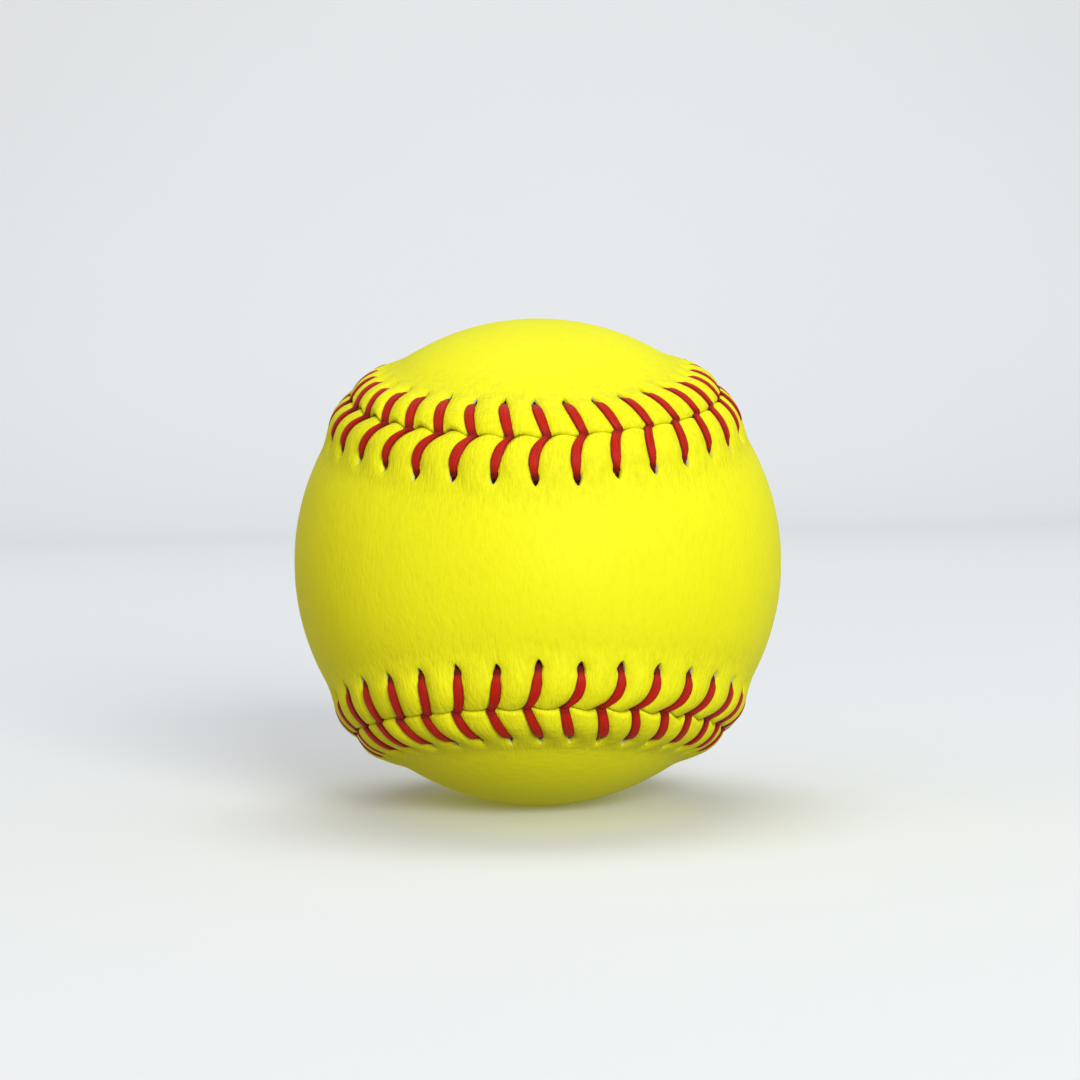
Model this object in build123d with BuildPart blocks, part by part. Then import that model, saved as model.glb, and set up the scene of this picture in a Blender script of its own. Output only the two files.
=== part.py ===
"""Stitched leather softball: cork core, two wound layers, a cement coat, two cover panels and two threads.

The origin is the centre of the ball, +Z is up and the photographed side faces -Y. The seam is a closed line
of four equal circular arcs on the ball. The front panel has its waist at -Y and its lobes at +X and -X; the
back panel is the same cut with its waist at +Y and its lobes at +Z and -Z.
"""

import os
from math import acos, atan2, cos, degrees, pi, sin, sqrt

from build123d import *

# Cover
ball_circumference = 304.8
leather_thickness = 1.4
waist_width = 50.4
rim_width = 12.5
hole_row_offset = 7.9
hole_row_rise = 0.9
edge_rise = 1.6
edge_round = 0.5
seam_gap = 1.0

# Stitching
stitches_per_arc = 19
stitch_hole_diameter = 2.1
hole_mouth_diameter = 3.4
hole_mouth_angle = 100
stitch_lead = 2.1
leg_spacing = 2.0
thread_width = 1.6
thread_thickness = 0.8
thread_clearance = 0.15
channel_depth = 0.5
channel_radius = 3.0

# Layers under the cover
cement_thickness = 0.4
outer_winding_thickness = 2.4
inner_winding_thickness = 4.6

# Radii of the layers, from the leather inwards
cover_radius = ball_circumference / (2 * pi)
cement_radius = cover_radius - leather_thickness
outer_winding_radius = cement_radius - cement_thickness
inner_winding_radius = outer_winding_radius - outer_winding_thickness
core_radius = inner_winding_radius - inner_winding_thickness

# Seam: each arc lies at one angle from its own axis, and the four arcs meet end to end without a corner
half_waist = waist_width / 2 / cover_radius
tilt = atan2(sqrt(0.5) - sin(half_waist), cos(half_waist))
seam_angle = acos(cos(tilt) / sqrt(2))
half_arc = atan2(1, -sin(tilt))
stitch_step = 2 * half_arc / stitches_per_arc
stitch_pitch = stitch_step * sin(seam_angle) * cover_radius

# Each arc in stitching order: its axis, the direction of its middle, the direction of travel there,
# and the side of the arc on which the front panel lies (1 outside it, -1 inside it). Places along the seam
# are counted in stitches from the start of the first arc, and holes lie half a stitch from the arcs' ends.
seam_arcs = [
    (Vector(0, -sin(tilt), cos(tilt)), Vector(0, -cos(tilt), -sin(tilt)), Vector(1, 0, 0), 1),
    (Vector(cos(tilt), sin(tilt), 0), Vector(-sin(tilt), cos(tilt), 0), Vector(0, 0, -1), -1),
    (Vector(0, -sin(tilt), -cos(tilt)), Vector(0, -cos(tilt), sin(tilt)), Vector(-1, 0, 0), 1),
    (Vector(-cos(tilt), sin(tilt), 0), Vector(sin(tilt), cos(tilt), 0), Vector(0, 0, 1), -1),
]
stitch_count = len(seam_arcs) * stitches_per_arc
first_hole = 0.5


def seam_direction(station, offset):
    """Unit vector to a spot on the ball: stitches along the seam, mm across it towards the front panel."""
    arc, along = divmod(station % stitch_count, stitches_per_arc)
    axis, middle, ahead, front_side = seam_arcs[int(arc)]
    azimuth = along * stitch_step - half_arc
    polar = seam_angle + front_side * offset / cover_radius
    return axis * cos(polar) + (middle * cos(azimuth) + ahead * sin(azimuth)) * sin(polar)


def meridian_point(polar, radius):
    """Point of a profile whose Y axis is the axis of a seam arc."""
    return Vector(radius * sin(polar), radius * cos(polar))


def parallel_arc(arc, distance):
    """The arc drawn again, a distance to its left."""
    points = [arc @ u + (arc % u).rotate(Axis.Z, 90) * distance for u in (0, 0.5, 1)]
    return ThreePointArc(*points)


def rim_arcs(seam):
    """Outer line of a rim from its toe to its edge: the hollow at the holes, then the raised crown."""
    toe, hole_row, edge = (seam + offset / cover_radius
                           for offset in (rim_width, hole_row_offset, seam_gap / 2))
    hollow = TangentArc(meridian_point(toe, cover_radius),
                        meridian_point(hole_row, cover_radius + hole_row_rise),
                        tangent=Vector(-cos(toe), sin(toe)))
    crown = TangentArc(hollow @ 1, meridian_point(edge, cover_radius + edge_rise), tangent=hollow % 1)
    return hollow, crown


def panel_section(plane, seam, far):
    """Section of a panel from a far angle to its rim at the seam, drawn anticlockwise about the centre."""
    start_angle = 90 - degrees(far)
    arc_angle = degrees(far - seam - rim_width / cover_radius)
    with BuildSketch(plane) as section:
        with BuildLine():
            body = CenterArc((0, 0), cover_radius, start_angle, arc_angle)
            inner_body = CenterArc((0, 0), cement_radius, start_angle, arc_angle)
            hollow, crown = rim_arcs(seam)
            parallel_arc(hollow, leather_thickness)
            inner_crown = parallel_arc(crown, leather_thickness)
            edge = Line(crown @ 1, inner_crown @ 1)
            Line(inner_body @ 0, body @ 0)
        make_face()
        fillet(section.vertices().sort_by_distance(edge @ 0)[0], edge_round)
    return section.sketch


def panel_sector(arc, side, far):
    """Part of a panel along one seam arc, outside (1) or inside (-1) it, out to a far angle."""
    axis, middle, *_ = arc
    start = (middle * cos(half_arc) - axis.cross(middle) * sin(half_arc)) * side
    plane = Plane(origin=(0, 0, 0), x_dir=start, z_dir=start.cross(axis))
    return revolve(panel_section(plane, side * seam_angle, far), axis=Axis((0, 0, 0), axis),
                   revolution_arc=degrees(2 * half_arc), mode=Mode.PRIVATE)


# Line of the crown across a rim, and the turn about its centre from its top to the holes
with BuildLine():
    _, crown_line = rim_arcs(seam_angle)
crown_centre = crown_line.arc_center
crown_offset = (atan2(crown_centre.X, crown_centre.Y) - seam_angle) * cover_radius
crown_turn = (crown_line @ 0 - crown_centre).get_angle(crown_centre)


def dive_station(stitch, side):
    """Where a stitch's leg on the front (1) or back (-1) panel goes down between the panels."""
    return stitch + first_hole + (stitch_lead - side * leg_spacing / 2) / stitch_pitch


def channel_planes(side):
    """For each leg on a panel, the plane of its channel, with X at the start of the channel by the seam."""
    for stitch in range(stitch_count):
        hole, dive = stitch + first_hole, dive_station(stitch, side)
        crown_station = dive + (hole - dive) * crown_offset / hole_row_offset
        crown_top = seam_direction(crown_station, side * crown_offset)
        across = crown_top.cross(seam_direction(hole, side * hole_row_offset))
        start = crown_top.rotate(Axis((0, 0, 0), across), -crown_turn)
        yield Plane(origin=crown_top * crown_centre.length, x_dir=start, z_dir=across)


def cut_channels(side):
    """Presses the legs' channels into a panel, round in section and bent over the crown."""
    with Locations(*channel_planes(side)):
        Torus(crown_line.radius + channel_radius - channel_depth, channel_radius,
              major_angle=2 * crown_turn, align=None, mode=Mode.SUBTRACT)


# The waist is two halves, each revolved about the axis of its own seam arc, that meet in the XY plane
# beyond the ends of the arc. The lobes fill the arcs at the sides.
upper_arc, right_arc, lower_arc, left_arc = seam_arcs
waist_reach = 2 * seam_angle + rim_width / cover_radius
stitch_holes = [Plane(origin=spot * (cover_radius + hole_row_rise), z_dir=spot) for spot in
                (seam_direction(stitch + first_hole, hole_row_offset) for stitch in range(stitch_count))]
with BuildPart() as pierced_panel:
    add(panel_sector(upper_arc, 1, waist_reach))
    split(bisect_by=Plane.XY, keep=Keep.TOP)
    mirror(about=Plane.XY)
    add(panel_sector(right_arc, -1, 0))
    add(panel_sector(left_arc, -1, 0))
    with Locations(*stitch_holes):
        CounterSinkHole(stitch_hole_diameter / 2, hole_mouth_diameter / 2,
                        depth=2 * leather_thickness, counter_sink_angle=hole_mouth_angle)

with BuildPart() as front_panel:
    add(pierced_panel.part)
    cut_channels(1)

# The back panel is the same cut, given half a turn about the line through two ends of the seam arcs.
# The legs on it slant more than those on the front panel.
with BuildPart() as back_panel:
    add(pierced_panel.part.rotate(Axis((0, 0, 0), (1, 0, 1)), 180))
    cut_channels(-1)

with BuildPart() as cement_coat:
    Sphere(cement_radius)
    Sphere(outer_winding_radius, mode=Mode.SUBTRACT)

with BuildPart() as outer_winding:
    Sphere(outer_winding_radius)
    Sphere(inner_winding_radius, mode=Mode.SUBTRACT)

with BuildPart() as inner_winding:
    Sphere(inner_winding_radius)
    Sphere(core_radius, mode=Mode.SUBTRACT)

with BuildPart() as cork_core:
    Sphere(core_radius)

thread_lift = thread_thickness / 2 + thread_clearance
hidden_radius = cement_radius + thread_lift
leg_shares = (0, 1 / 3, 2 / 3, 1)
tangent_step = 0.01


def leg_radius(offset):
    """Distance from the ball's centre to the middle of a thread in its channel, at an offset."""
    ray = meridian_point(seam_angle + offset / cover_radius, 1)
    along = crown_centre.dot(ray)
    across_squared = crown_centre.length**2 - along**2
    return along + sqrt((crown_line.radius - channel_depth + thread_lift) ** 2 - across_squared)


def thread_route(first_side):
    """A thread's corners: up a hole, over the crown, down the seam and under to the next hole."""
    for stitch in range(stitch_count):
        side = first_side * (-1) ** stitch
        hole = stitch + first_hole
        dive = dive_station(stitch, side)
        yield hole, side * hole_row_offset, hidden_radius
        for share in leg_shares:
            offset = hole_row_offset * (1 - share)
            yield hole + (dive - hole) * share, side * offset, leg_radius(offset)
        yield dive, 0, hidden_radius
        yield (dive + hole + 1) / 2, -side * hole_row_offset / 2, hidden_radius


def thread_sections(first_side):
    """The corners of a thread's flattened six-sided sections, each mitred to the turn of the thread."""
    route = list(thread_route(first_side))
    points = [seam_direction(station, offset) * radius for station, offset, radius in route]
    half_width, flat = thread_width / 2, thread_width / 4
    for before, here, after, (station, offset, _) in zip(
            points[-1:] + points[:-1], points, points[1:] + points[:1], route):
        leaving = (after - here).normalized()
        forward = ((here - before).normalized() + leaving).normalized()
        ahead = (seam_direction(station + tangent_step, offset)
                 - seam_direction(station - tangent_step, offset))
        across = ahead - forward * ahead.dot(forward)
        half_height = thread_thickness / 2 / forward.dot(leaving)
        section = Plane(origin=here, x_dir=across, z_dir=forward)
        yield [section.from_local_coords(corner) for corner in (
            (half_width, 0), (flat, half_height), (-flat, half_height),
            (-half_width, 0), (-flat, -half_height), (flat, -half_height))]


def thread_solid(first_side):
    """A closed loop of thread: ruled faces from each section to the next and from the last to the first."""
    sections = list(thread_sections(first_side))
    faces = []
    for near, far in zip(sections, sections[1:] + sections[:1]):
        for corner in range(len(near)):
            near_edge = Edge.make_line(near[corner], near[corner - 1])
            far_edge = Edge.make_line(far[corner], far[corner - 1])
            faces.append(Face.make_surface_from_curves(near_edge, far_edge))
    return Solid(Shell(faces))


with BuildPart() as stitch_thread_one:
    add(thread_solid(1))

with BuildPart() as stitch_thread_two:
    add(thread_solid(-1))

os.makedirs("parts", exist_ok=True)
pieces = {
    "front_panel": front_panel,
    "back_panel": back_panel,
    "stitch_thread_one": stitch_thread_one,
    "stitch_thread_two": stitch_thread_two,
    "cement_coat": cement_coat,
    "outer_winding": outer_winding,
    "inner_winding": inner_winding,
    "cork_core": cork_core,
}
for name, piece in pieces.items():
    piece.part.label = name
    export_step(piece.part, f"parts/{name}.step")
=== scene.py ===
"""Dressed softball: two grained leather panels with puckered, rolled rims, sewn with waxed red thread.

Lengths are in millimetres until a mesh is made, which is in metres. Places on the cover are counted in
stitches along the seam (stations) and in millimetres from it (offsets), towards the front panel (side 1) or
the back panel (side -1). Columns are stations that lean with the legs of the stitches, so a leg keeps to one
column.
"""

from math import acos, atan2, cos, pi, radians, sin, sqrt

import bmesh
import bpy
import numpy as np
from mathutils import Matrix, Vector


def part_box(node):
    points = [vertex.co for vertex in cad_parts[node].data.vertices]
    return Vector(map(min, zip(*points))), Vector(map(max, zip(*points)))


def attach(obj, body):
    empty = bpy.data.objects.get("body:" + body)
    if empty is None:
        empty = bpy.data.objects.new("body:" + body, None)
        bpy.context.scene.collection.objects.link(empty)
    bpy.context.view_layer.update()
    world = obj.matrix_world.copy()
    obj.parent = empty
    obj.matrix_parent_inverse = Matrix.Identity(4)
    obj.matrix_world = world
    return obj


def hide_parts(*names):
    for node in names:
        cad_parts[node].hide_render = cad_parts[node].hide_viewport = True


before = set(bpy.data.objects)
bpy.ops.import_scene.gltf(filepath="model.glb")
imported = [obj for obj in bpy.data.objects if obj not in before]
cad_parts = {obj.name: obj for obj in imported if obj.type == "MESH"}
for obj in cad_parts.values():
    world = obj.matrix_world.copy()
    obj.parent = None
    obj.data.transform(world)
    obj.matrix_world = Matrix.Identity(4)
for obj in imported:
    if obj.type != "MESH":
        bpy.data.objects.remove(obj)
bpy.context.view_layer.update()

MM = 0.001
FRONT, BACK = 1, -1

# Cover, as it is cut
leather_thickness = 1.4
cement_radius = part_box("cement_coat")[1][0] / MM
ball_radius = cement_radius + leather_thickness
waist_width = 50.4
stitches_per_arc = 19
hole_offset = 7.9

# Lean of the legs along the seam, how late they hook over, and how the lean rises and falls along an arc
slant = {FRONT: 1.9, BACK: 2.25}
leg_hook = {FRONT: 3.0, BACK: 1.2}
slant_swing = {FRONT: 0.45, BACK: 0.0}
slant_start = 0.1

# Share of a stitch from a leg up to which the leather sways with it, and from which it doesn't
sway_full = 0.15
sway_end = 0.5

# Rim, as the thread draws it up
rim_reach = 12.2
crest_offset = 3.2
crest_height = 2.2
edge_sag = 0.6
edge_roll = 0.7
edge_gap = 0.03

# Pillows of leather between the legs, and the channels that the legs lie in
channel_depth = 0.8
channel_half_width = 0.5
pillow_fullness = 2.2
pucker_start = hole_offset - 1.5
pucker_end = 10.8
hole_pull = 0.35
hole_pull_reach = 1.6

# Scallops of the front panel's pillows over the seam, which also rise and fall along an arc
scallop = 0.85
scallop_rest = 0.25
scallop_swing = 0.75
scallop_start = -0.01
scallop_skew = 0.62
scallop_fade = 4.0

# Punched holes. They are deepest up to the middle and end at the rim, both as shares of their size
hole_length = 1.35
hole_half_width = 0.66
hole_depth = 1.15
hole_taper = 0.5
hole_middle = 0.55
hole_rim = 1.1

# Painted shade where the leather is sunk near the seam, by how far it is sunk and how far it is from the
# seam
sunk_shade_shallow = 0.45
sunk_shade_deep = 1.3
sunk_shade_near = 3.0
sunk_shade_far = 5.0

# Thread, with powers that make its section squarer than an ellipse
thread_width = 1.98
thread_thickness = 0.8
thread_plies = 3
ply_groove = 0.035
side_power = 0.8
face_power = 0.7
thread_sink = 0.05
thread_lift = thread_thickness / 2 - thread_sink
hidden_height = thread_thickness / 2 - leather_thickness
hidden_width = 0.8
hidden_thickness = 0.9

# Rings of the thread in a hole: distance before its middle, height and share of the width
hole_rings = ((0.1, hidden_height, 0.6), (0.15, -0.6, 0.6), (0.35, -0.15, 0.64))

# Legs of the thread: dipped and narrow at the hole, squeezed and bent down at the seam
leg_start = 0.7
leg_dip = 0.45
leg_flattening = 0.1
hole_narrowing = 0.32
seam_narrowing = 0.14
seam_squeeze = {FRONT: 0.32, BACK: 0.0}
seam_bend = edge_roll * 0.8
seam_bend_start = 0.35
seam_thickness = 0.95
seam_drop = 0.2

# Shares of a leg where it is out of its hole, fully wide and starts to narrow, and where its painted shade
# fades out and starts again
leg_out = 0.16
leg_wide = 0.35
leg_narrows = 0.6
leg_bright = 0.1
leg_dims = 0.88

# Painted shade on the thread: how dim it is at the end of a leg and in the bend
seam_painted_shade = 0.4
bend_painted_shade = 0.6

# Mesh of the panels: columns, and rows by their distance from the seam, closest in the drawn-up rim
columns_per_stitch = 24
column_spread = 0.5
plain_start = rim_reach + 3.0
plain_rows = 16
quarter_distance = rim_reach + 1.6
half_distance = rim_reach + 0.3
flank_start = rim_reach - 0.9
flank_rows = 5
hole_zone_start = 10.2
hole_zone_rows = 21
crown_start = 6.2
crown_rows = 13
crown_end = edge_roll + 0.3
edge_rows = 8
inside_edge_distances = (0.5, 1.4, 3.0)
inside_rim_distances = (5.0, 7.0, 9.0, 11.0, rim_reach)
inside_plain_rows = 12
cement_gap = 0.02

# Mesh of the threads
thread_sides = 20
leg_rings = 24
bend_rings = 5

# Colours
leather_colours = (0.80, 0.78, 0.008, 1), (0.87, 0.86, 0.012, 1)
fold_colour = (0.60, 0.55, 0.006, 1)
wrinkle_colour = (0.56, 0.50, 0.006, 1)
# Painted shade for sunk leather near the seam
sunk_shade_colour = (0.46, 0.39, 0.006, 1)
fibre_colour = (0.62, 0.61, 0.50, 1)
# Painted shade inside the punched holes
hole_shade_colour = (0.016, 0.014, 0.009, 1)
thread_colours = (0.36, 0.008, 0.003, 1), (0.58, 0.018, 0.006, 1)
# Painted shade along the thread's edges
thread_edge_shade_colour = (0.16, 0.004, 0.003, 1)
# Painted shade where the thread goes into the leather
thread_shade_colour = (0.05, 0.003, 0.003, 1)
cement_colours = (0.45, 0.34, 0.18, 1), (0.70, 0.60, 0.40, 1)
fine_yarn_colours = (0.45, 0.42, 0.36, 1), (0.78, 0.75, 0.68, 1)
coarse_yarn_colours = (0.20, 0.20, 0.20, 1), (0.50, 0.49, 0.48, 1)
cork_colours = (0.30, 0.16, 0.07, 1), (0.55, 0.35, 0.18, 1)
cork_gap_colour = (0.08, 0.04, 0.02, 1)
paper_colours = (0.86, 0.885, 0.915, 1), (0.88, 0.905, 0.935, 1)

# Seam of four circular arcs
half_waist = waist_width / 2 / ball_radius
tilt = atan2(sqrt(0.5) - sin(half_waist), cos(half_waist))
seam_angle = acos(cos(tilt) / sqrt(2))
half_arc = atan2(1, -sin(tilt))
stitch_step = 2 * half_arc / stitches_per_arc
stitch_pitch = stitch_step * sin(seam_angle) * ball_radius
arc_axis = np.array([(0, -sin(tilt), cos(tilt)), (cos(tilt), sin(tilt), 0),
                     (0, -sin(tilt), -cos(tilt)), (-cos(tilt), sin(tilt), 0)])
arc_middle = np.array([(0, -cos(tilt), -sin(tilt)), (-sin(tilt), cos(tilt), 0),
                       (0, -cos(tilt), sin(tilt)), (sin(tilt), cos(tilt), 0)])
arc_ahead = np.array([(1, 0, 0), (0, 0, -1), (-1, 0, 0), (0, 0, 1)])
arc_front_side = np.array([1, -1, 1, -1])
stitch_count = 4 * stitches_per_arc

rng = np.random.default_rng(seed=7)


def uneven(middle, spread, limit):
    """A value for each stitch, as sewing by hand leaves every stitch a little different."""
    return middle + spread * rng.standard_normal(stitch_count).clip(-limit, limit)


pillow_share = {side: uneven(middle=1, spread=0.09, limit=2) for side in (FRONT, BACK)}
hole_shift = {side: uneven(middle=0, spread=0.22, limit=1.5) for side in (FRONT, BACK)}
thread_share = {side: uneven(middle=1, spread=0.06, limit=2) for side in (FRONT, BACK)}
leg_sway = {side: uneven(middle=0, spread=0.22, limit=1.5) for side in (FRONT, BACK)}
scallop_share = uneven(middle=0.8, spread=0.22, limit=1.6)


def ease(low, high, value):
    """0 up to low, 1 from high, and smooth between."""
    t = np.clip((value - low) / (high - low), 0, 1)
    return t * t * (3 - 2 * t)


def seam_arc(station):
    """The arc that holds a station, and the angle along it from its middle."""
    station = np.mod(station, stitch_count)
    arc = np.floor(station / stitches_per_arc).astype(int)
    return arc, (station - arc * stitches_per_arc) * stitch_step - half_arc


def seam_direction(station, offset):
    """Unit vectors to spots on the ball, at offsets towards the front panel."""
    arc, azimuth = seam_arc(station)
    polar = seam_angle + arc_front_side[arc] * offset / ball_radius
    ring = arc_middle[arc] * np.cos(azimuth)[..., None] + arc_ahead[arc] * np.sin(azimuth)[..., None]
    return arc_axis[arc] * np.cos(polar)[..., None] + ring * np.sin(polar)[..., None]


def panel_reach(station, side):
    """Distance from the seam to the middle line of a panel's waist, or to the centre of its lobe."""
    arc, azimuth = seam_arc(station)
    waist = np.arctan2(cos(tilt), sin(tilt) * np.cos(azimuth)) - seam_angle
    return np.where(arc_front_side[arc] == side, waist, seam_angle) * ball_radius


def stitch_at(column):
    """Number of the stitch that a column belongs to."""
    return np.mod(np.floor(column), stitch_count).astype(int)


def from_leg(column):
    """Share of a stitch between a column and the leg of its stitch."""
    return np.abs(column % 1 - 0.5)


def arc_swing(column, start):
    """Pull of the thread, from -1 to 1 along each arc. It rises through 0 at start, a share of the arc."""
    return np.sin(2 * pi * (np.mod(column, stitches_per_arc) / stitches_per_arc - start))


def leg_slant(column, side):
    """Distance along the seam between the two ends of a leg."""
    return slant[side] * (1 + slant_swing[side] * arc_swing(column, slant_start))


def leg_station(column, offset, side):
    """Station of a column, which leans along the seam with the legs of the stitches inside the hole row."""
    lean = np.clip(1 - offset / hole_offset, 0, 1)
    near_leg = 1 - ease(sway_full, sway_end, from_leg(column))
    sway = leg_sway[side][stitch_at(column)] * near_leg * 4 * lean * (1 - lean)
    return column + (leg_slant(column, side) * lean ** leg_hook[side] + sway) / stitch_pitch


def edge_offset(column, side):
    """Offset of a panel's edge from the middle of the seam: the front panel's pillows push over it."""
    station = column + leg_slant(column, side) / stitch_pitch
    crossing = 0.5 + (leg_slant(column, FRONT) + leg_slant(column, BACK)) / 2 / stitch_pitch
    past_crossing = station - crossing
    bulge = np.sin(pi * np.mod(past_crossing, 1) ** scallop_skew) ** 2
    share = scallop_share[stitch_at(past_crossing)] + scallop_swing * arc_swing(column, scallop_start)
    return edge_gap - side * scallop * (share * bulge - scallop_rest)


def crown_height(offset):
    """Height of the raised rim over the ball, as it would be without stitches."""
    inner = 1 - edge_sag / crest_height * (np.clip(crest_offset - offset, 0, None) / crest_offset) ** 2
    return crest_height * inner * ease(-rim_reach, -crest_offset, -offset)


def leather_height(column, offset, side):
    """Height of the leather over the ball, with its pillows and the channels that the legs lie in."""
    from_channel = from_leg(column) * stitch_pitch - channel_half_width
    away = np.clip(from_channel / (stitch_pitch / 2 - channel_half_width), 0, 1)
    puff = 1 - (1 - away) ** pillow_fullness
    drawn = 1 - ease(pucker_start, pucker_end, offset)
    share = 1 + (pillow_share[side][stitch_at(column - 0.5)] - 1) * puff * drawn
    pull = 1 + hole_pull * np.exp(-((offset - hole_offset) / hole_pull_reach) ** 2)
    return crown_height(offset) * share - channel_depth * (1 - puff) * drawn * pull


def hole_amount(column, offset, side):
    """1 in the middle of a punched hole, 0 outside it. Holes taper away from the seam."""
    along = (offset - hole_offset - hole_shift[side][stitch_at(column)]) / hole_length
    half_width = hole_half_width * (1 - hole_taper * np.clip(along, -1, 1))
    across = from_leg(column) * stitch_pitch / half_width
    return 1 - ease(hole_middle, hole_rim, np.sqrt(along**2 + across**2))


def row_columns(per_stitch):
    """Columns of a row, closer together at the legs."""
    x = 2 * np.arange(per_stitch) / per_stitch - 1
    within = 0.5 + 0.5 * (column_spread * x + (1 - column_spread) * x**3)
    return (np.arange(stitch_count)[:, None] + within).ravel()


def panel_rows(side):
    """Closed rows round a panel: over its outside to the seam, round the edge and back along its inside.

    Each row is its columns, their offsets from the seam and their heights over the ball.
    """
    fine, half, quarter, plain = (row_columns(columns_per_stitch // share) for share in (1, 2, 4, 8))
    edge = edge_offset(fine, side)
    plain_length = panel_reach(plain, side) - plain_start
    rows = []

    def add_outside(columns, offset):
        offset = np.broadcast_to(offset, columns.shape)
        height = leather_height(columns, offset, side)
        rows.append((columns, offset, height - hole_depth * hole_amount(columns, offset, side)))

    def from_edge(distance):
        return distance + edge * (1 - ease(0, scallop_fade, distance))

    for share in np.linspace(1, 0, plain_rows):
        add_outside(plain, plain_start + plain_length * share)
    add_outside(quarter, quarter_distance)
    add_outside(half, half_distance)
    flank = np.linspace(flank_start, hole_zone_start, flank_rows, endpoint=False)
    hole_zone = np.linspace(hole_zone_start, crown_start, hole_zone_rows, endpoint=False)
    crown = np.linspace(crown_start, crown_end, crown_rows)
    for distance in np.concatenate([flank, hole_zone, crown]):
        add_outside(fine, from_edge(distance))
    for turn in np.linspace(0, pi / 2, edge_rows):
        offset = from_edge(edge_roll * (1 - sin(turn)))
        rows.append((fine, offset, leather_height(fine, offset, side) - edge_roll * (1 - cos(turn))))
    rows.append((fine, edge, leather_height(fine, edge, side) - leather_thickness))
    for columns, distance in zip((half, quarter, plain), inside_edge_distances):
        offset = distance + np.clip(edge_offset(columns, side), 0, None)
        rows.append((columns, offset, crown_height(offset) - channel_depth - leather_thickness))
    for distance in inside_rim_distances:
        sunk = crown_height(distance) - channel_depth * ease(-pucker_end, -hole_offset, -distance)
        height = max(sunk, cement_gap) - leather_thickness
        rows.append((plain, np.full(plain.shape, distance), np.full(plain.shape, height)))
    for share in np.linspace(0, 1, inside_plain_rows):
        offset = plain_start + plain_length * share
        rows.append((plain, offset, np.full(plain.shape, cement_gap - leather_thickness)))
    return rows


def faces_between(first, second):
    """Faces between two closed rows of vertex numbers. One may have twice as many columns as the other."""
    if len(first) == len(second):
        return np.stack([first, np.roll(first, -1), np.roll(second, -1), second], 1).tolist()
    fine, coarse = (first, second) if len(first) > len(second) else (second, first)
    a, b, c = fine[::2], fine[1::2], np.roll(fine, -2)[::2]
    d, e = coarse, np.roll(coarse, -1)
    return np.concatenate([np.stack(corners, 1) for corners in ((a, b, d), (b, e, d), (b, c, e))]).tolist()


def mesh_object(name, points, faces, material, numbers=None, vectors=None):
    """A smooth mesh piece from points in mm, with named numbers and vectors at its points."""
    mesh = bpy.data.meshes.new(name)
    mesh.from_pydata((points * MM).tolist(), [], faces)
    for key, values in (numbers or {}).items():
        layer = mesh.attributes.new(key, "FLOAT", "POINT")
        layer.data.foreach_set("value", values.astype(np.float32))
    for key, values in (vectors or {}).items():
        layer = mesh.attributes.new(key, "FLOAT_VECTOR", "POINT")
        layer.data.foreach_set("vector", values.astype(np.float32).ravel())
    shape = bmesh.new()
    shape.from_mesh(mesh)
    bmesh.ops.remove_doubles(shape, verts=shape.verts, dist=1e-7)
    bmesh.ops.recalc_face_normals(shape, faces=shape.faces)
    shape.to_mesh(mesh)
    shape.free()
    mesh.shade_smooth()
    mesh.materials.append(material)
    piece = bpy.data.objects.new(name, mesh)
    bpy.context.collection.objects.link(piece)
    return piece


def seam_place(station, offset):
    """Coordinates in mm along the closed seam, on a circle as long as the seam, and away from it."""
    circle = stitch_pitch * stitch_count / (2 * pi)
    turn = 2 * pi * station / stitch_count
    return np.stack([circle * np.cos(turn), circle * np.sin(turn), offset], -1)


def make_panel(name, side, material):
    """One leather panel as a closed skin."""
    points, faces, places, holes, sunk_shades = [], [], [], [], []
    previous, start = None, 0
    for columns, offset, height in panel_rows(side):
        station = leg_station(columns, offset, side)
        points.append(seam_direction(station, side * offset) * (ball_radius + height)[:, None])
        places.append(seam_place(station, offset))
        holes.append(hole_amount(columns, offset, side))
        # Painted shade where the leather is sunk below its crown near the seam
        sunk = crown_height(offset) - height
        sunk_shades.append(ease(sunk_shade_shallow, sunk_shade_deep, sunk) * (1 - ease(sunk_shade_near, sunk_shade_far, offset)))
        numbers = np.arange(start, start + len(columns))
        start += len(columns)
        if previous is not None:
            faces += faces_between(previous, numbers)
        previous = numbers
    numbers = {"hole": np.concatenate(holes), "crease": np.concatenate(sunk_shades)}
    vectors = {"seam_place": np.concatenate(places)}
    return mesh_object(name, np.concatenate(points), faces, material, numbers, vectors)


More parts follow.
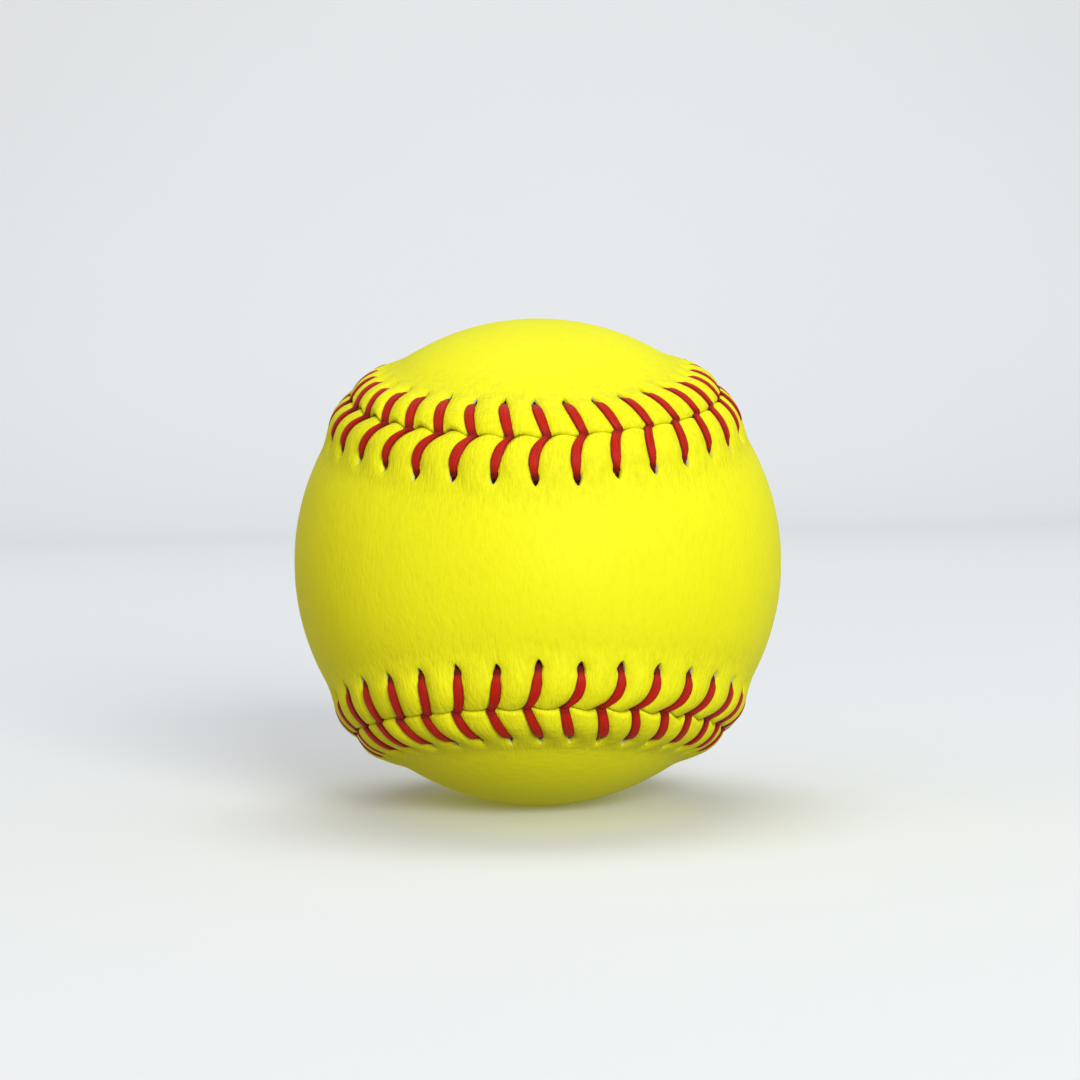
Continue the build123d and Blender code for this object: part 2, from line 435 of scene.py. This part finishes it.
def thread_route(first_side):
    """Rings along a thread: station, offset, height, shares of its width and thickness, and its painted
    shade.

    It goes up a hole, along the channel to the seam, down between the edges, and under to the next hole
    across the seam.
    """
    rings = []
    for stitch in range(stitch_count):
        side = first_side * (-1) ** stitch
        column = np.array(stitch + 0.5)
        hole = hole_offset + hole_shift[side][stitch]
        squeeze = seam_narrowing + seam_squeeze[side] * np.clip(arc_swing(column, slant_start), 0, 1)

        def add_ring(offset, height, width, thick, painted_shade):
            offset = np.array(offset)
            width *= thread_share[side][stitch]
            rings.append((leg_station(column, offset, side), side * offset, height, width, thick, painted_shade))

        for distance, height, width in hole_rings:
            add_ring(hole - distance, height, width, 1.0, 1.0)
        leg_top = hole - leg_start
        for step in np.linspace(0, 1, leg_rings):
            offset = leg_top + (seam_bend - leg_top) * step
            still_in = 1 - ease(0, leg_out, step)
            height = leather_height(column, np.array(offset), side) + thread_lift - leg_dip * still_in
            narrow = hole_narrowing * (1 - ease(0, leg_wide, step)) + squeeze * ease(leg_narrows, 1, step)
            # Painted shade near the hole and towards the seam
            painted_shade = 1 - ease(0, leg_bright, step) + seam_painted_shade * ease(leg_dims, 1, step)
            add_ring(offset, height, 1 - narrow, 1 - leg_flattening * still_in, painted_shade)
        brow = leather_height(column, np.array(edge_roll), side) + thread_lift
        for turn in np.linspace(seam_bend_start, pi / 2, bend_rings):
            height = brow - edge_roll * (1 - cos(turn))
            add_ring(seam_bend * (1 - sin(turn)), height, 1 - squeeze, seam_thickness, bend_painted_shade)
        for height in (seam_drop, hidden_height):
            add_ring(0.0, height, hidden_width, hidden_thickness, 1.0)
        middle = (leg_station(column, 0.0, side) + stitch + 1.5) / 2
        rings.append((middle, -side * hole_offset / 2, hidden_height, hidden_width, hidden_thickness, 1.0))
    return [np.array(values, dtype=float) for values in zip(*rings)]


def make_thread(name, first_side, material):
    """One thread of the seam as a closed loop of a flattened strand with grooves between its plies."""
    station, offset, height, width, thick, painted_shade = thread_route(first_side)
    middle = seam_direction(station, offset) * (ball_radius + height)[:, None]
    step = 0.01
    ahead = seam_direction(station + step, offset) - seam_direction(station - step, offset)
    forward = np.roll(middle, -1, 0) - np.roll(middle, 1, 0)
    forward /= np.linalg.norm(forward, axis=1)[:, None]
    across = ahead - forward * (ahead * forward).sum(1)[:, None]
    across /= np.linalg.norm(across, axis=1)[:, None]
    up = np.cross(across, forward)
    turn = 2 * pi * np.arange(thread_sides) / thread_sides
    x = np.sign(np.cos(turn)) * np.abs(np.cos(turn)) ** side_power / 2
    y = np.sign(np.sin(turn)) * np.abs(np.sin(turn)) ** face_power / 2
    ply_height = ply_groove * (1 - np.cos(2 * pi * thread_plies * (x + 0.5))) / 2
    y = y * thread_thickness + np.sign(y) * ply_height
    points = (middle[:, None] + across[:, None] * (x[None, :, None] * thread_width * width[:, None, None])
              + up[:, None] * (y[None, :, None] * thick[:, None, None]))
    count = len(middle)
    near = np.arange(count * thread_sides).reshape(count, thread_sides)
    far = np.roll(near, -1, 0)
    faces = np.stack([near, np.roll(near, -1, 1), np.roll(far, -1, 1), far], -1).reshape(-1, 4).tolist()
    length = np.cumsum(np.linalg.norm(middle - np.roll(middle, 1, 0), axis=1))
    strand = np.stack(np.broadcast_arrays(length[:, None], x[None, :], y[None, :]), -1).reshape(-1, 3)
    numbers = {"shade": np.repeat(painted_shade, thread_sides)}
    return mesh_object(name, points.reshape(-1, 3), faces, material, numbers, {"strand": strand})


def add_node(tree, kind, inputs=None, **settings):
    """A shader node with its inputs set to values or linked to other nodes' sockets."""
    node = tree.nodes.new("ShaderNode" + kind)
    for key, value in settings.items():
        setattr(node, key, value)
    for key, value in (inputs or {}).items():
        if isinstance(value, bpy.types.NodeSocket):
            tree.links.new(value, node.inputs[key])
        else:
            node.inputs[key].default_value = value
    return node


def new_material(name, **values):
    """A material with a Principled shader whose constant values are set on it."""
    material = bpy.data.materials.new(name)
    material.use_nodes = True
    shader = material.node_tree.nodes["Principled BSDF"]
    for key, value in values.items():
        shader.inputs[key.replace("_", " ")].default_value = value
    return material, material.node_tree, shader


def calculate(tree, operation, first, second=0.0, third=0.0):
    """Result of a Math node."""
    return add_node(tree, "Math", {0: first, 1: second, 2: third}, operation=operation).outputs[0]


def scale_vector(tree, vector, scale):
    """Vector with each part multiplied by its own number."""
    return add_node(tree, "VectorMath", {0: vector, 1: scale}, operation="MULTIPLY").outputs[0]


def mix_colour(tree, share, first, second):
    """Colour between two others."""
    factor, first_colour, second_colour, result = 0, 6, 7, 2
    inputs = {factor: share, first_colour: first, second_colour: second}
    return add_node(tree, "Mix", inputs, data_type="RGBA").outputs[result]


def ramp(tree, value, low, high):
    """0 at low, 1 at high, smooth between."""
    inputs = {"Value": value, "From Min": low, "From Max": high}
    return add_node(tree, "MapRange", inputs, interpolation_type="SMOOTHSTEP").outputs["Result"]


def noise(tree, vector, scale, detail=2.0, roughness=0.5):
    """Noise between 0 and 1."""
    inputs = {"Vector": vector, "Scale": scale, "Detail": detail, "Roughness": roughness}
    return add_node(tree, "TexNoise", inputs).outputs["Fac"]


def attribute(tree, name, output):
    """Value that a mesh holds at its points."""
    return add_node(tree, "Attribute", attribute_name=name).outputs[output]


def bump(tree, shader, height, distance):
    """Fine relief on a shader, from heights of 0 to 1 that stand for a distance in mm."""
    node = add_node(tree, "Bump", {"Strength": 1.0, "Distance": distance * MM, "Height": height})
    tree.links.new(node.outputs["Normal"], shader.inputs["Normal"])


def set_roughness(tree, shader, value, low, rise):
    """Roughness of a shader, from low where the value is 0, with a rise up to where it is 1."""
    tree.links.new(calculate(tree, "MULTIPLY_ADD", value, rise, low), shader.inputs["Roughness"])


def leather_material(name, grain):
    """Optic yellow leather: drawn-out grain, wrinkles towards the stitches, painted shade where it is sunk,
    and holes painted dark as shade, with pale fibres.
    """
    material, tree, shader = new_material(name, Specular_IOR_Level=0.10)
    place = add_node(tree, "TexCoord").outputs["Object"]
    seam = attribute(tree, "seam_place", "Vector")
    hole = attribute(tree, "hole", "Fac")
    crease = attribute(tree, "crease", "Fac")
    offset = add_node(tree, "SeparateXYZ", {0: seam}).outputs["Z"]
    near_seam = calculate(tree, "SUBTRACT", 1.0, ramp(tree, offset, low=8.0, high=18.0))

    swirl = add_node(tree, "TexNoise", {"Vector": place, "Scale": 260.0, "Detail": 2.0}).outputs["Color"]
    swirl_size = (0.0009, 0.0009, 0.0009)
    bending = {0: swirl, 1: swirl_size, 2: scale_vector(tree, place, grain)}
    bent = add_node(tree, "VectorMath", bending, operation="MULTIPLY_ADD").outputs[0]
    cells = add_node(tree, "TexVoronoi", {"Vector": bent, "Scale": 1700.0}, feature="SMOOTH_F1")
    folds = noise(tree, bent, scale=900.0, detail=3.0, roughness=0.6)
    pores = noise(tree, place, scale=5200.0)
    towards_seam = (2.4, 2.4, 0.42)
    wrinkle = noise(tree, scale_vector(tree, seam, towards_seam), scale=0.55, detail=3.0, roughness=0.6)
    from_wrinkle = calculate(tree, "ABSOLUTE", calculate(tree, "SUBTRACT", wrinkle, 0.5))
    pebble_relief = -0.30
    pore_relief = 0.10
    fold_relief = 0.55
    wrinkle_relief = -2.7
    wrinkles = calculate(tree, "MULTIPLY", from_wrinkle, near_seam)
    relief = calculate(tree, "MULTIPLY", pores, pore_relief)
    relief = calculate(tree, "MULTIPLY_ADD", cells.outputs["Distance"], pebble_relief, relief)
    relief = calculate(tree, "MULTIPLY_ADD", folds, fold_relief, relief)
    relief = calculate(tree, "MULTIPLY_ADD", wrinkles, wrinkle_relief, relief)
    bump(tree, shader, relief, distance=0.16)

    plain_fold_tint = 0.11
    seam_fold_tint = 0.18
    seam_wrinkle_tint = 0.18
    colour = mix_colour(tree, noise(tree, place, scale=45.0, detail=3.0), *leather_colours)
    fold_tint = calculate(tree, "MULTIPLY_ADD", near_seam, seam_fold_tint, plain_fold_tint)
    fold_share = calculate(tree, "MULTIPLY", ramp(tree, folds, low=0.55, high=0.3), fold_tint)
    colour = mix_colour(tree, fold_share, colour, fold_colour)
    wrinkle_tint = calculate(tree, "MULTIPLY", near_seam, seam_wrinkle_tint)
    wrinkle_share = calculate(tree, "MULTIPLY", ramp(tree, from_wrinkle, low=0.06, high=0.0), wrinkle_tint)
    colour = mix_colour(tree, wrinkle_share, colour, wrinkle_colour)
    # Painted shade where the leather is sunk near the seam
    colour = mix_colour(tree, crease, colour, sunk_shade_colour)
    tufts = ramp(tree, noise(tree, place, scale=700.0), low=0.44, high=0.56)
    fibre_share = calculate(tree, "MULTIPLY", ramp(tree, hole, low=0.04, high=0.4), tufts)
    colour = mix_colour(tree, fibre_share, colour, fibre_colour)
    # Painted shade: the holes darkened almost to black inside their pale fibres
    colour = mix_colour(tree, ramp(tree, hole, low=0.42, high=0.8), colour, hole_shade_colour)
    tree.links.new(colour, shader.inputs["Base Color"])
    set_roughness(tree, shader, folds, low=0.48, rise=0.2)
    return material


def thread_material():
    """Waxed red thread: streaks along the strand, and painted shade at its edges and where it goes into the
    leather.
    """
    edge_shade_tint = 0.7
    shade_tint = 0.75
    material, tree, shader = new_material("waxed_red_thread", Specular_IOR_Level=0.12)
    strand = attribute(tree, "strand", "Vector")
    along_strand = (0.35, 16.0, 6.0)
    streak = noise(tree, scale_vector(tree, strand, along_strand), scale=1.0, detail=3.0, roughness=0.6)
    bump(tree, shader, streak, distance=0.10)
    colour = mix_colour(tree, ramp(tree, streak, low=0.3, high=0.7), *thread_colours)
    across = add_node(tree, "SeparateXYZ", {0: strand}).outputs["Y"]
    edge = ramp(tree, calculate(tree, "ABSOLUTE", across), low=0.3, high=0.5)
    # Painted shade along the edges of the strand
    colour = mix_colour(tree, calculate(tree, "MULTIPLY", edge, edge_shade_tint), colour, thread_edge_shade_colour)
    # Painted shade where the thread goes into a hole and down into the seam
    shade = calculate(tree, "MULTIPLY", attribute(tree, "shade", "Fac"), shade_tint)
    colour = mix_colour(tree, shade, colour, thread_shade_colour)
    tree.links.new(colour, shader.inputs["Base Color"])
    set_roughness(tree, shader, streak, low=0.33, rise=0.25)
    return material


def yarn_material(name, colours, turns):
    """Wound yarn: bands of turns that cross at several angles."""
    lay_angles = (0.3, 1.3, 2.4)
    material, tree, shader = new_material(name, Roughness=0.9, Sheen_Weight=0.3)
    place = add_node(tree, "TexCoord").outputs["Object"]
    lays = []
    for angle in lay_angles:
        rotation = (angle, 2 * angle, angle)
        turned = add_node(tree, "Mapping", {"Vector": place, "Rotation": rotation}).outputs[0]
        waves = {"Vector": turned, "Scale": turns, "Distortion": 2.0, "Detail": 2.0}
        lays.append(add_node(tree, "TexWave", waves).outputs["Fac"])
    height = calculate(tree, "MAXIMUM", calculate(tree, "MAXIMUM", lays[0], lays[1]), lays[2])
    tree.links.new(mix_colour(tree, height, *colours), shader.inputs["Base Color"])
    bump(tree, shader, height, distance=0.5)
    return material


def cement_material():
    """Dull amber latex with a brushed, uneven coat."""
    material, tree, shader = new_material("latex_coat", Specular_IOR_Level=0.4)
    place = add_node(tree, "TexCoord").outputs["Object"]
    coat = noise(tree, place, scale=120.0, detail=4.0)
    tree.links.new(mix_colour(tree, coat, *cement_colours), shader.inputs["Base Color"])
    set_roughness(tree, shader, coat, low=0.4, rise=0.3)
    bump(tree, shader, coat, distance=0.2)
    return material


def cork_material():
    """Moulded cork: granules of several browns with dark gaps."""
    material, tree, shader = new_material("moulded_cork", Roughness=0.85)
    granules = {"Vector": add_node(tree, "TexCoord").outputs["Object"], "Scale": 420.0}
    tint = add_node(tree, "TexVoronoi", granules).outputs["Color"]
    gap = add_node(tree, "TexVoronoi", granules, feature="DISTANCE_TO_EDGE").outputs["Distance"]
    shade = add_node(tree, "SeparateXYZ", {0: tint}).outputs[0]
    colour = mix_colour(tree, shade, *cork_colours)
    colour = mix_colour(tree, ramp(tree, gap, low=0.08, high=0.0), colour, cork_gap_colour)
    tree.links.new(colour, shader.inputs["Base Color"])
    bump(tree, shader, ramp(tree, gap, low=0.0, high=0.2), distance=0.3)
    return material


def floor_material():
    """Plain pale studio paper."""
    material, tree, shader = new_material("pale_paper", Roughness=0.95, Specular_IOR_Level=0.1)
    place = add_node(tree, "TexCoord").outputs["Object"]
    tone = noise(tree, place, scale=3.0)
    tree.links.new(mix_colour(tree, tone, *paper_colours), shader.inputs["Base Color"])
    return material


def make_stage(floor_height):
    """A sheet of paper that lies on the floor and curves up behind the ball, in metres."""
    near = -1.2
    far = 1.6
    bend = 0.9
    top = 3.2
    half_width = 2.0
    bend_lines = 25
    line = [(near, 0.0)]
    line += [(far + bend * sin(turn), bend * (1 - cos(turn))) for turn in np.linspace(0, pi / 2, bend_lines)]
    line += [(far + bend, top)]
    points = np.array([(x, y, floor_height + z) for y, z in line for x in (-half_width, half_width)])
    faces = [(2 * i, 2 * i + 1, 2 * i + 3, 2 * i + 2) for i in range(len(line) - 1)]
    floor = mesh_object("paper_floor", points / MM, faces, floor_material())
    floor.visible_diffuse = False


def add_light(name, place, aim, size, power, colour):
    """A square soft light that faces a point."""
    light = bpy.data.lights.new(name, "AREA")
    light.size = size
    light.energy = power
    light.color = colour
    lamp = bpy.data.objects.new(name, light)
    facing = (Vector(aim) - Vector(place)).to_track_quat("-Z", "Y").to_matrix().to_4x4()
    lamp.matrix_world = Matrix.Translation(place) @ facing
    lamp.visible_camera = False
    bpy.context.collection.objects.link(lamp)


def add_world(below, above, seen):
    """Studio light from all round, from one colour below to another above, and the pale wall in view."""
    world = bpy.data.worlds.new("studio")
    world.use_nodes = True
    tree = world.node_tree
    height = add_node(tree, "SeparateXYZ", {0: add_node(tree, "TexCoord").outputs["Generated"]}).outputs["Z"]
    light = mix_colour(tree, ramp(tree, height, low=-1.0, high=1.0), below, above)
    in_view = add_node(tree, "LightPath").outputs["Is Camera Ray"]
    tree.links.new(mix_colour(tree, in_view, light, seen), tree.nodes["Background"].inputs["Color"])
    bpy.context.scene.world = world


def add_camera():
    """The camera of the photograph, found from the seam and the outline of the ball."""
    image_size = 1080
    ball_centre = (537.8, 561.8)
    ball_pixels = 243.5
    distance_in_radii = 9.23
    pitch, yaw, roll = radians(2.67), radians(-1.02), radians(-0.2)
    turn = Matrix.Rotation(roll, 3, "Z") @ Matrix.Rotation(yaw, 3, "Y") @ Matrix.Rotation(pitch, 3, "X")
    back = turn.transposed()
    data = bpy.data.cameras.new("photo_camera")
    data.sensor_width = 36.0
    data.lens = ball_pixels * sqrt(distance_in_radii**2 - 1) / image_size * data.sensor_width
    data.shift_x = 0.5 - ball_centre[0] / image_size
    data.shift_y = ball_centre[1] / image_size - 0.5
    data.clip_start = 0.01
    camera = bpy.data.objects.new("photo_camera", data)
    level_axes = ((1, 0, 0), (0, 0, 1), (0, -1, 0))
    axes = Matrix([back @ Vector(axis) for axis in level_axes]).transposed()
    place = back @ Vector((0, -distance_in_radii * ball_radius * MM, 0))
    camera.matrix_world = Matrix.Translation(place) @ axes.to_4x4()
    bpy.context.collection.objects.link(camera)
    bpy.context.scene.camera = camera


front_leather = leather_material("yellow_leather_front", grain=(1.0, 1.0, 0.45))
back_leather = leather_material("yellow_leather_back", grain=(0.45, 1.0, 1.0))
thread = thread_material()
pieces = (
    (make_panel("front_cover", FRONT, front_leather), "front_panel", "leather"),
    (make_panel("back_cover", BACK, back_leather), "back_panel", "leather"),
    (make_thread("first_thread", FRONT, thread), "stitch_thread_one", "waxed_thread"),
    (make_thread("second_thread", BACK, thread), "stitch_thread_two", "waxed_thread"),
)
for piece, node, slot in pieces:
    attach(piece, "root")
    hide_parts(node)

finishes = {
    "front_panel": front_leather,
    "back_panel": back_leather,
    "stitch_thread_one": thread,
    "stitch_thread_two": thread,
    "cement_coat": cement_material(),
    "outer_winding": yarn_material("fine_yarn", fine_yarn_colours, turns=260.0),
    "inner_winding": yarn_material("coarse_yarn", coarse_yarn_colours, turns=150.0),
    "cork_core": cork_material(),
}
for node, material in finishes.items():
    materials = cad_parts[node].data.materials
    materials.clear()
    materials.append(material)

make_stage(-ball_radius * MM)
ball = (0, 0, 0)
add_light("key_light", place=(0.62, -1.58, 0.55), aim=ball, size=0.8, power=27.5, colour=(0.98, 1.0, 0.96))
add_light("backdrop_light", place=(0, 0.7, 2.4), aim=(0, 2.5, 0.6), size=1.6, power=30.0,
          colour=(0.96, 0.98, 1.0))
add_light("warm_fill", place=(-1.5, -0.7, 0.0), aim=ball, size=0.9, power=4.6, colour=(1.0, 0.74, 0.48))
add_world(below=(0.262, 0.245, 0.218, 1), above=(0.47, 0.47, 0.47, 1), seen=(0.80, 0.83, 0.86, 1))
add_camera()

bpy.context.scene.view_settings.view_transform = "Standard"
